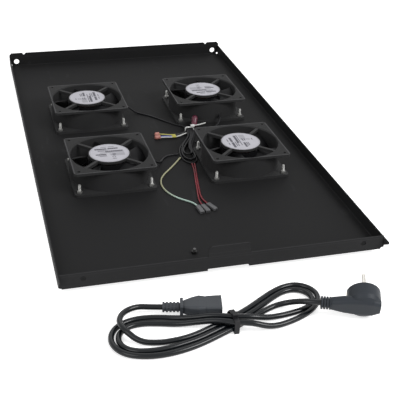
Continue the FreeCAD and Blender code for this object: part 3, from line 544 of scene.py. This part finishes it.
# Each fan's lead: its length and its route, from the frame to where it goes under the hank.
LEADS = {
    1: (74, [(-42, -90.25, 21), (-33, -90.25, 21), (-25, -87, 15), (-18, -78.5, 10.4), (-12, -67, 10.4),
             (-3, -59, 10.4), (6.5, -57, 10.4), (15.4, -57, 10.4)]),
    2: (56, [(90, -42.25, 21), (90, -33, 21), (87, -25, 15.5), (79.5, -19.5, 10.4), (70, -17, 10.4),
             (60.5, -17.5, 10.4), (52.9, -19.8, 10.4)]),
    3: (138, [(-42, 126.75, 21), (-33, 126.75, 21), (-25, 122.5, 15), (-16.5, 115, 10.4),
              (-6, 106.5, 10.4), (4.5, 96.5, 10.4), (14, 84.5, 10.4), (23, 72, 10.4), (32, 60.5, 10.4),
              (41, 50.5, 10.4), (48.5, 43, 11.4), (51, 34.2, 11.9)]),
    4: (73, [(114, 54.75, 21), (114, 45.5, 21), (110, 37.5, 15.5), (101.5, 31, 10.4), (91, 27.5, 10.4),
             (80.5, 25.5, 10.4), (70, 25, 10.4), (60.1, 27, 10.9)]),
}
for n, (length, points) in LEADS.items():
    cord(f"fan_lead_{n}_sleeve", points, LEAD, "lead", f"fan_lead_{n}")

# The two supply wires and the earth wire, from the hank to their terminals.
SUPPLY = {
    1: (130, [(27.6, -94.7, 11.2), (27, -106, 10.2), (24.4, -122, 10.2), (20.6, -140, 10.2),
              (17.2, -158, 10.2), (13.9, -176, 10.2), (10.6, -192, 10.2), (8.8, -204, 10.2),
              (8, -213.5, 10.75), (8.8, -222.5, 11.25)]),
    2: (127, [(31.6, -94.7, 11.2), (29.9, -106, 10.2), (27, -122, 10.2), (23.2, -140, 10.2),
              (19.9, -158, 10.2), (16.7, -176, 10.2), (14.2, -191, 10.2), (13.9, -202, 10.2),
              (15, -211.5, 10.75), (17.3, -220, 11.25)]),
}
EARTH_ROUTE = [
    (14.7, -70.9, 11.2), (8, -79.5, 10.2), (-1.5, -92.5, 10.2), (-12.5, -106.5, 10.2),
    (-23, -119, 10.2), (-30.5, -132.5, 10.2), (-34, -148, 10.2), (-33, -165, 10.2), (-27.5, -181, 10.2),
    (-18.5, -194.5, 10.2), (-8.5, -204.5, 10.2), (-1.2, -213, 10.75), (1.5, -223.5, 11.25)]
for n, (length, points) in SUPPLY.items():
    cord(f"supply_wire_{n}", points, WIRE, "red", f"supply_lead_{n}")
cord("earth_wire", EARTH_ROUTE, WIRE, "earth", "earth_lead")

# The mains cord, from the connector to the plug.
MAINS_ROUTE = [
    (-99.6, -438.1, 8.75), (-112, -435.3, 8.75), (-130, -433, 10.75), (-147, -441, 11.3),
    (-155, -457, 11.3), (-151, -474, 11.3), (-137, -488, 3.5), (-117, -494.5, 3.5), (-96, -494.5, 3.5),
    (-74, -490.5, 3.5), (-50, -481.5, 4.7), (-26, -471, 4.7), (-3, -458.5, 3.5), (19, -444, 3.5),
    (39, -431, 3.5), (57, -423.5, 3.5), (73, -423, 3.5), (85.5, -431.5, 3.5), (91, -446, 3.5),
    (87, -461, 3.5), (75.5, -473.5, 3.5), (60, -483.5, 3.5), (42, -490.5, 3.5), (24, -495, 3.5),
    (9, -497, 6.5), (-7, -495, 12.5), (-28, -488.5, 12.5), (-48, -480.5, 12.5), (-68, -473.5, 8),
    (-88, -467, 3.5), (-108, -461, 3.5), (-127, -456.5, 3.5), (-144, -458.5, 3.5), (-156, -468, 3.5),
    (-160, -482.5, 3.5), (-155, -496, 3.5), (-142, -504, 3.5), (-125, -506.5, 3.5), (-108, -506, 3.5),
    (-90, -502.5, 3.5), (-70, -497.5, 3.5), (-48, -489, 4.7), (-26, -479.5, 4.7), (-3, -467, 3.5),
    (18, -454.5, 3.5), (35, -442.5, 3.5), (51, -433.8, 3.5), (64, -431.8, 3.5), (75, -436.2, 3.5),
    (81.6, -446.2, 3.5), (81.2, -458, 3.5), (73.8, -467.5, 3.5), (61.5, -473.4, 3.5), (46, -476.6, 3.5),
    (31, -478.4, 3.5), (14, -482, 6.5), (-5, -483.5, 12.5), (-26, -479, 12.5), (-48, -471, 12.5),
    (-68, -464, 7.5), (-88, -456, 3.5), (-108, -449.5, 3.5), (-128, -446.5, 3.5), (-147, -450, 3.5),
    (-161, -460, 3.5), (-168, -476, 3.5), (-165.5, -493, 3.5), (-154.5, -506.5, 3.5),
    (-136, -513.5, 3.5), (-116, -515.5, 3.5), (-94, -513, 3.5), (-72, -507, 3.5), (-48, -498, 4.7),
    (-26, -488, 4.7), (-3, -475.5, 3.5), (16, -465.5, 3.5), (32, -459.5, 4.5), (46, -461.5, 8),
    (57, -469.5, 14), (67.2, -478.4, 18.4), (79.2, -483.6, 18.7)]
cord("mains_cord", MAINS_ROUTE, MAINS, "cord", "power_cord")

# ---------------------------------------------------------------- finger guards


def hoop(radius, height, steps=72):
    """A ring of guard wire about Z."""
    bm = bmesh.new()
    bmesh.ops.create_circle(bm, cap_ends=False, segments=8, radius=GUARD_WIRE / 2 * MM)
    upright = Matrix.Rotation(math.pi / 2, 4, "X")
    bm.transform(Matrix.Translation(Vector((radius, 0, height)) * MM) @ upright)
    spin(bm, steps)
    return bm


def finger_guard():
    """Five rings under a fan on two crossed ribs, whose ends rise to eyelets below the tray's plate."""
    rib_height, ring_height, eyelet_height = 0.8, 2.2, 6.7
    guard = bmesh.new()
    for radius in (13, 24, 35, 46, 57):
        add(guard, hoop(radius, ring_height))
    eyelet = HOLE_PITCH * math.sqrt(0.5)  # from the fan's middle to a screw hole
    for turn in (45, 135):
        half = [(50, 0, rib_height), (58, 0, rib_height), (60.5, 0, 2), (67, 0, 5.6),
                (69, 0, eyelet_height), (eyelet - 3, 0, eyelet_height)]
        rib = [(-x, y, z) for x, y, z in reversed(half)] + [(0, 0, rib_height)] + half
        turned = at(0, 0, 0, turn=turn)
        add(guard, rod(rib, GUARD_WIRE), turned)
        for end in (-1, 1):
            add(guard, hoop(3.3, eyelet_height, steps=28), turned @ at(end * eyelet, 0, 0))
    return guard


guard = finger_guard()
for n, fan in FANS.items():
    copy = guard.copy()
    copy.transform(Matrix.Translation((fan.x, fan.y, 0)))
    piece(f"wire_guard_{n}", as_mesh(copy, "wire guard"), "chrome", f"finger_guard_{n}", crisp=False)
guard.free()

# ---------------------------------------------------------------- screws and nuts

HOLES = [Vector((fan.x + i * HOLE_PITCH / 2 * MM, fan.y + j * HOLE_PITCH / 2 * MM, 0))
         for fan in FANS.values() for i in (-1, 1) for j in (-1, 1)]


def machine_screw():
    """M4 screw, head down: a domed head with a cross recess, and a threaded shank."""
    pitch, crest, root = 0.7, 1.98, 1.62
    seat, thread_start, thread_end, tip = 5.9, 10.0, 25.2, 26.0  # heights along the screw
    shank = [(0, seat), (2.0, seat), (2.0, thread_start)]
    height = thread_start
    while height < thread_end:
        shank += [(crest, height + 0.1), (crest, height + 0.22),
                  (root, height + 0.5), (root, height + 0.6)]
        height += pitch
    shank += [(1.5, tip), (0, tip)]
    screw = spun(shank, steps=20)
    head = spun([(0, 3.35), (1.6, 3.4), (2.8, 3.75), (3.6, 4.4), (4, 5.2), (4, seat), (0, seat)],
                steps=24)
    cross = bmesh.new()
    for turn in (0, 90):
        add_box(cross, (4, 0.9, 1.2), at(0, 0, 3.8, turn=turn))
    cutter = new_object("recess", as_mesh(cross, "recess"))
    blank = new_object("head", as_mesh(head, "head"))
    cut = blank.modifiers.new("recess", "BOOLEAN")
    cut.object = cutter
    cut.solver = "EXACT"
    cut.use_self = True
    bpy.context.view_layer.update()
    screw.from_mesh(bpy.data.meshes.new_from_object(
        blank.evaluated_get(bpy.context.evaluated_depsgraph_get())))
    bpy.data.objects.remove(cutter)
    bpy.data.objects.remove(blank)
    return screw


def hexagon(across, low, high, bore_radius):
    """A nut between two heights: a hexagon bored through, with the corners of its top turned off."""
    flat = across / 2
    nut = bmesh.new()
    bmesh.ops.create_circle(nut, cap_ends=True, segments=6, radius=flat / math.cos(math.pi / 6) * MM)
    bmesh.ops.translate(nut, verts=nut.verts, vec=(0, 0, low * MM))
    bmesh.ops.inset_region(nut, faces=nut.faces[:], thickness=(flat - bore_radius) * MM)
    middle = [face for face in nut.faces if all(vert.co.xy.length < flat * MM for vert in face.verts)]
    bmesh.ops.delete(nut, geom=middle, context="FACES_ONLY")
    extrude(nut, nut.faces[:], (0, 0, (high - low) * MM))
    outer_top = {vert for vert in nut.verts
                 if abs(vert.co.z - high * MM) < MERGE and vert.co.xy.length > flat * MM}
    bevel(nut, [edge for edge in nut.edges if outer_top.issuperset(edge.verts)], width=0.45, segments=2)
    return nut


def at_each_hole(source, name, finish, node):
    whole = bmesh.new()
    for hole in HOLES:
        add(whole, source, Matrix.Translation(hole), keep=True)
    source.free()
    piece(name, as_mesh(whole, name), finish, node)


at_each_hole(machine_screw(), "machine_screws", "zinc", "fan_screws")
at_each_hole(hexagon(across=7, low=13, high=16.2, bore_radius=2.05), "hex_nuts", "nut zinc", "fan_nuts")

# ---------------------------------------------------------------- harness

# Spare length of the four leads: hairpins of different lengths, gathered where the tie holds them.
SPARE = [
    [(49.5, 33, 12), (49.5, 21, 12.2), (49, 8, 12.2), (44, -6, 12), (33, -20, 11), (22.5, -37, 10.6),
     (17.5, -58, 10.5), (18, -78.5, 10.5), (24.5, -91, 10.5), (33, -92, 10.5), (39, -82, 10.5),
     (40, -64, 10.5), (40, -46, 10.5), (43, -32, 10.8), (50, -14, 11.5), (57, 2, 12.2), (58.5, 14, 12.2),
     (58, 32, 12)],
    [(52.5, 33, 12), (52.5, 20, 12.2), (52, 8, 12.2), (48, -7, 12), (38.5, -22, 11.5), (28, -38, 10.8),
     (22.4, -56, 10.6), (22.2, -66, 10.6), (22.5, -73.2, 10.6), (26.6, -77.7, 10.6), (32.7, -77.6, 10.6),
     (36.8, -73, 10.6), (37, -65, 10.6), (36.8, -50, 10.8), (39, -34, 11), (45, -17, 11.6), (52, -2, 12),
     (55.5, 10, 12.2), (55.5, 31, 12)],
    [(49.5, 32, 15.2), (49.5, 20, 15.4), (49, 8, 15.4), (44.5, -7, 15), (34, -23, 14.4), (25, -42, 13.8),
     (20.5, -61, 13.4), (20.8, -73, 13.4), (24.2, -81.5, 13.4), (30.4, -84.6, 13.4), (36.4, -81, 13.4),
     (38.9, -72, 13.5), (38.9, -59, 13.7), (39, -45, 14), (42, -29, 14.6), (50, -11, 15.2),
     (56.5, 4, 15.4), (58.5, 15, 15.4), (58, 31, 15)],
    [(52.8, 32, 15.4), (52.8, 20, 15.6), (52, 8, 15.6), (48, -9, 15.4), (39, -24, 15), (29.5, -40, 14.4),
     (25, -50, 14), (24.2, -57, 13.9), (24.4, -62.4, 13.8), (27.8, -65.9, 13.8), (32.8, -65.8, 13.8),
     (36.2, -62.2, 14), (36.5, -56, 14.2), (36.2, -47, 14.5), (38.3, -36, 14.6), (43.5, -21, 15),
     (51, -4, 15.4), (55.4, 10, 15.6), (55.4, 30, 15.2)],
]
for n, points in enumerate(SPARE, start=1):
    cord(f"spare_loop_{n}", points, LEAD, "lead", "lead_hank")


def crimp_cap(radius, length):
    """A closed-end cap: a flared mouth, a ribbed barrel and a rounded tip, along +Z."""
    mouth = [(0, 0.8), (radius * 0.62, 0.8), (radius * 0.7, 0), (radius, 0), (radius, 1.2),
             (radius * 0.9, 2.2)]
    barrel = [(radius * across, length * along) for across, along in (
        (0.9, 0.45), (0.97, 0.52), (0.97, 0.72), (0.9, 0.84), (0.7, 0.93), (0.4, 0.985))]
    return spun(mouth + barrel + [(0, length)], steps=28)


caps = bmesh.new()
for place, length in (((0.5, 6, 12.5), 9.6), ((1, 17.5, 12.5), 7.6)):
    add(caps, crimp_cap(radius=3.5, length=length), at(*place) @ Matrix.Rotation(-math.pi / 2, 4, "Y"))
piece("coral_caps", as_mesh(caps, "coral caps"), "coral", "crimp_caps_coral")
single = bmesh.new()
add(single, crimp_cap(radius=5.3, length=19.2), at(66, 37, 12.5, turn=-20, tilt=-45))
piece("magenta_cap", as_mesh(single, "magenta cap"), "magenta", "crimp_cap_magenta")

# The three link wires, from the coral caps to the tie.
LINKS = {
    "white": [(0.6, 4.6, 12.5), (9, 4, 12.5), (18, 2.2, 12.5), (27, 2.4, 12.5), (35, 5.8, 12.5),
              (41.3, 10.4, 12.5), (47.1, 13.1, 12.5)],
    "blue": [(0.5, 7.4, 12.5), (9, 7.5, 12.5), (18, 6.1, 12.5), (27, 6.2, 12.5), (35, 9.2, 12.5),
             (41.3, 13.6, 12.5), (47.1, 15.9, 12.5)],
    "yellow": [(1.4, 17.4, 12.5), (9, 15, 12.5), (18, 11, 12.5), (27, 10.2, 12.5), (35, 12.6, 12.5),
               (41.3, 16.8, 12.5), (47.1, 18.8, 12.5)],
}
for colour, points in LINKS.items():
    cord(f"link_{colour}", points, LINK, colour, f"link_wire_{colour}")

# Two short wires from the hank into the magenta cap.
for n, points in enumerate(([(56, 31, 11), (59.5, 33.5, 10.7), (63, 33.6, 10.7), (66.5, 38.5, 14)],
                            [(57, 31, 13.4), (60.5, 33.8, 13), (64, 35, 12), (67, 39.5, 15)]), start=1):
    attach(flex(f"splice_wire_{n}", points, LINK, "lead"), "tray")


def strap(width, depth, corner, breadth, thick):
    """A closed band with rounded corners, standing in the XZ plane about the middle of its foot."""
    band = bmesh.new()
    add_box(band, (width, breadth, depth), at(0, 0, depth / 2))
    bends = [edge for edge in band.edges
             if abs(edge.verts[0].co.y - edge.verts[1].co.y) > breadth / 2 * MM]
    bevel(band, bends, width=corner, segments=6)
    ends = [face for face in band.faces if abs(face.normal.y) > 0.9]
    bmesh.ops.delete(band, geom=ends, context="FACES_ONLY")
    bmesh.ops.recalc_face_normals(band, faces=band.faces)
    bmesh.ops.solidify(band, geom=band.faces[:], thickness=thick * MM)
    square = [edge for edge in band.edges if edge.calc_face_angle(0) > 1]
    bevel(band, square, width=0.25, segments=2)
    return band


def block(sides, corner):
    """A small moulding with rounded edges about its middle."""
    made = bmesh.new()
    add_box(made, sides)
    bevel(made, made.edges[:], width=corner, segments=3)
    return made


def tail(run, breadth, thick):
    """The free end of a tie: a thin strip bent through its points, narrower at its tip."""
    taper, taper_run = 0.35, 0.3  # how much narrower, and over how much of the last stretch
    stretches = len(run) - 1
    strip = bmesh.new()
    bmesh.ops.create_grid(strip, x_segments=stretches * 6, y_segments=2, size=0.5)
    for vert in strip.verts:
        along = (vert.co.x + 0.5) * stretches
        step = min(int(along), stretches - 1)
        start, end = Vector(run[step]), Vector(run[step + 1])
        side = vert.co.y * breadth * (1 - taper * max(0, along - stretches + taper_run) / taper_run)
        vert.co = (start.lerp(end, along - step) + Vector((0, side, 0))) * MM
    bmesh.ops.smooth_vert(strip, verts=strip.verts, factor=0.5, use_axis_z=True)
    bmesh.ops.recalc_face_normals(strip, faces=strip.faces)
    bmesh.ops.solidify(strip, geom=strip.faces[:], thickness=thick * MM)
    return strip


tie = bmesh.new()
add(tie, strap(width=14.9, depth=10.2, corner=3.4, breadth=3, thick=1.1), at(53.75, 22, 9))
add(tie, block(sides=(6.4, 4.6, 3.8), corner=0.6), at(59.3, 22, 20.6))
add(tie, tail([(60, 22, 21.6), (64, 22, 21.5), (70, 22, 22.2), (76, 22, 23.3), (82, 22, 24.6)],
              breadth=2.0, thick=0.9))
piece("white_tie", as_mesh(tie, "white tie"), "nylon", "harness_tie")

# ---------------------------------------------------------------- floor, light and camera

FLOOR_DROP = 0.0004  # the floor lies this far under the part, in metres
FLOOR_HALF = 6  # half the floor's width, in metres
UNDER_FANS = (0.18, 0.19)  # half sizes of the floor that shows through the fans, in metres
BY_TRAY = (0.27, 0.426)  # half sizes of the floor close round the tray, where painted light lifts its shadow, in metres
GLOW, TRAY_GLOW = 0.6, 0.22  # what makes the floor white, and the painted light added close to the tray to lift its shadow
ROOM = 0.4  # how strongly the room lights the part


def floor_finish():
    """White card that keeps the soft shadow and stays white where it is seen.

    What shows of it through the fans is left dark, and close round the tray painted light makes it a
    little whiter, lifting the tray's shadow there.
    """
    finish = Finish("white floor", base_color=(0.88, 0.88, 0.88), roughness=0.9,
                    emission_color=(1, 1, 1))
    x, y, _ = finish.axes()
    under_fans = near(x, 0, UNDER_FANS[0]) * near(y, 0, UNDER_FANS[1])
    by_tray = near(x, 0, BY_TRAY[0]) * near(y, 0, BY_TRAY[1])
    # painted light: extra glow close round the tray lifts the tray's shadow on the floor
    finish.put("Emission Strength", seen(finish) * (1 - under_fans) * (GLOW + by_tray * TRAY_GLOW))
    below = finish.outputs("ShaderNodeNewGeometry")["Backfacing"]
    clear = finish.node("ShaderNodeBsdfTransparent", {})
    card = Socket(finish, finish.surface.outputs["BSDF"])
    shown = finish.node("ShaderNodeMixShader", {}, [Socket(finish, below), card, clear])
    finish.link(shown, finish.tree.nodes["Material Output"].inputs["Surface"])
    return finish.material


ground = bmesh.new()
bmesh.ops.create_grid(ground, x_segments=1, y_segments=1, size=FLOOR_HALF,
                      matrix=Matrix.Translation((0, 0, -FLOOR_DROP)))
ground_mesh = bpy.data.meshes.new("floor")
ground.to_mesh(ground_mesh)
ground.free()
ground_mesh.materials.append(floor_finish())
floor = new_object("floor", ground_mesh)

world = bpy.data.worlds.new("studio")
bpy.context.scene.world = world
world.use_nodes = True
studio = Finish.around(world)
background = world.node_tree.nodes["Background"]
studio.link(ROOM + seen(studio) * (1 - ROOM), background.inputs["Strength"])
background.inputs["Color"].default_value = (1, 1, 1, 1)


def softbox(name, place, size, power):
    """A round lamp that faces the tray's middle."""
    lamp = bpy.data.lights.new(name, "AREA")
    lamp.shape = "DISK"
    lamp.size = size
    lamp.energy = power
    made = new_object(name, lamp)
    made.location = place
    made.rotation_euler = (-Vector(place)).to_track_quat("-Z", "Y").to_euler()


softbox("key light", (1.3, -1.4, 1.7), size=1.1, power=34)
softbox("fill light", (-1.5, -1.5, 1.4), size=1.6, power=14)
softbox("back light", (0.2, 1.6, 2.0), size=2.2, power=6)

# The camera stands in front on the left, looks to the right and down, and leans by two degrees.
EYE = (-0.2837, -1.1973, 0.5934)
YAW, PITCH, ROLL = (math.radians(angle) for angle in (16.491, 29.419, 2.2125))
ahead = Vector((math.sin(YAW) * math.cos(PITCH), math.cos(YAW) * math.cos(PITCH), -math.sin(PITCH)))
level = Vector((math.cos(YAW), -math.sin(YAW), 0))
above = level.cross(ahead)
across = level * math.cos(ROLL) + above * math.sin(ROLL)
up = above * math.cos(ROLL) - level * math.sin(ROLL)
lens = bpy.data.cameras.new("camera")
lens.lens = 74.8
lens.sensor_width = 36
lens.clip_start = 0.05
camera = new_object("camera", lens)
camera.matrix_world = Matrix.Translation(EYE) @ Matrix((across, up, -ahead)).transposed().to_4x4()
bpy.context.scene.camera = camera
bpy.context.scene.view_settings.view_transform = "Standard"
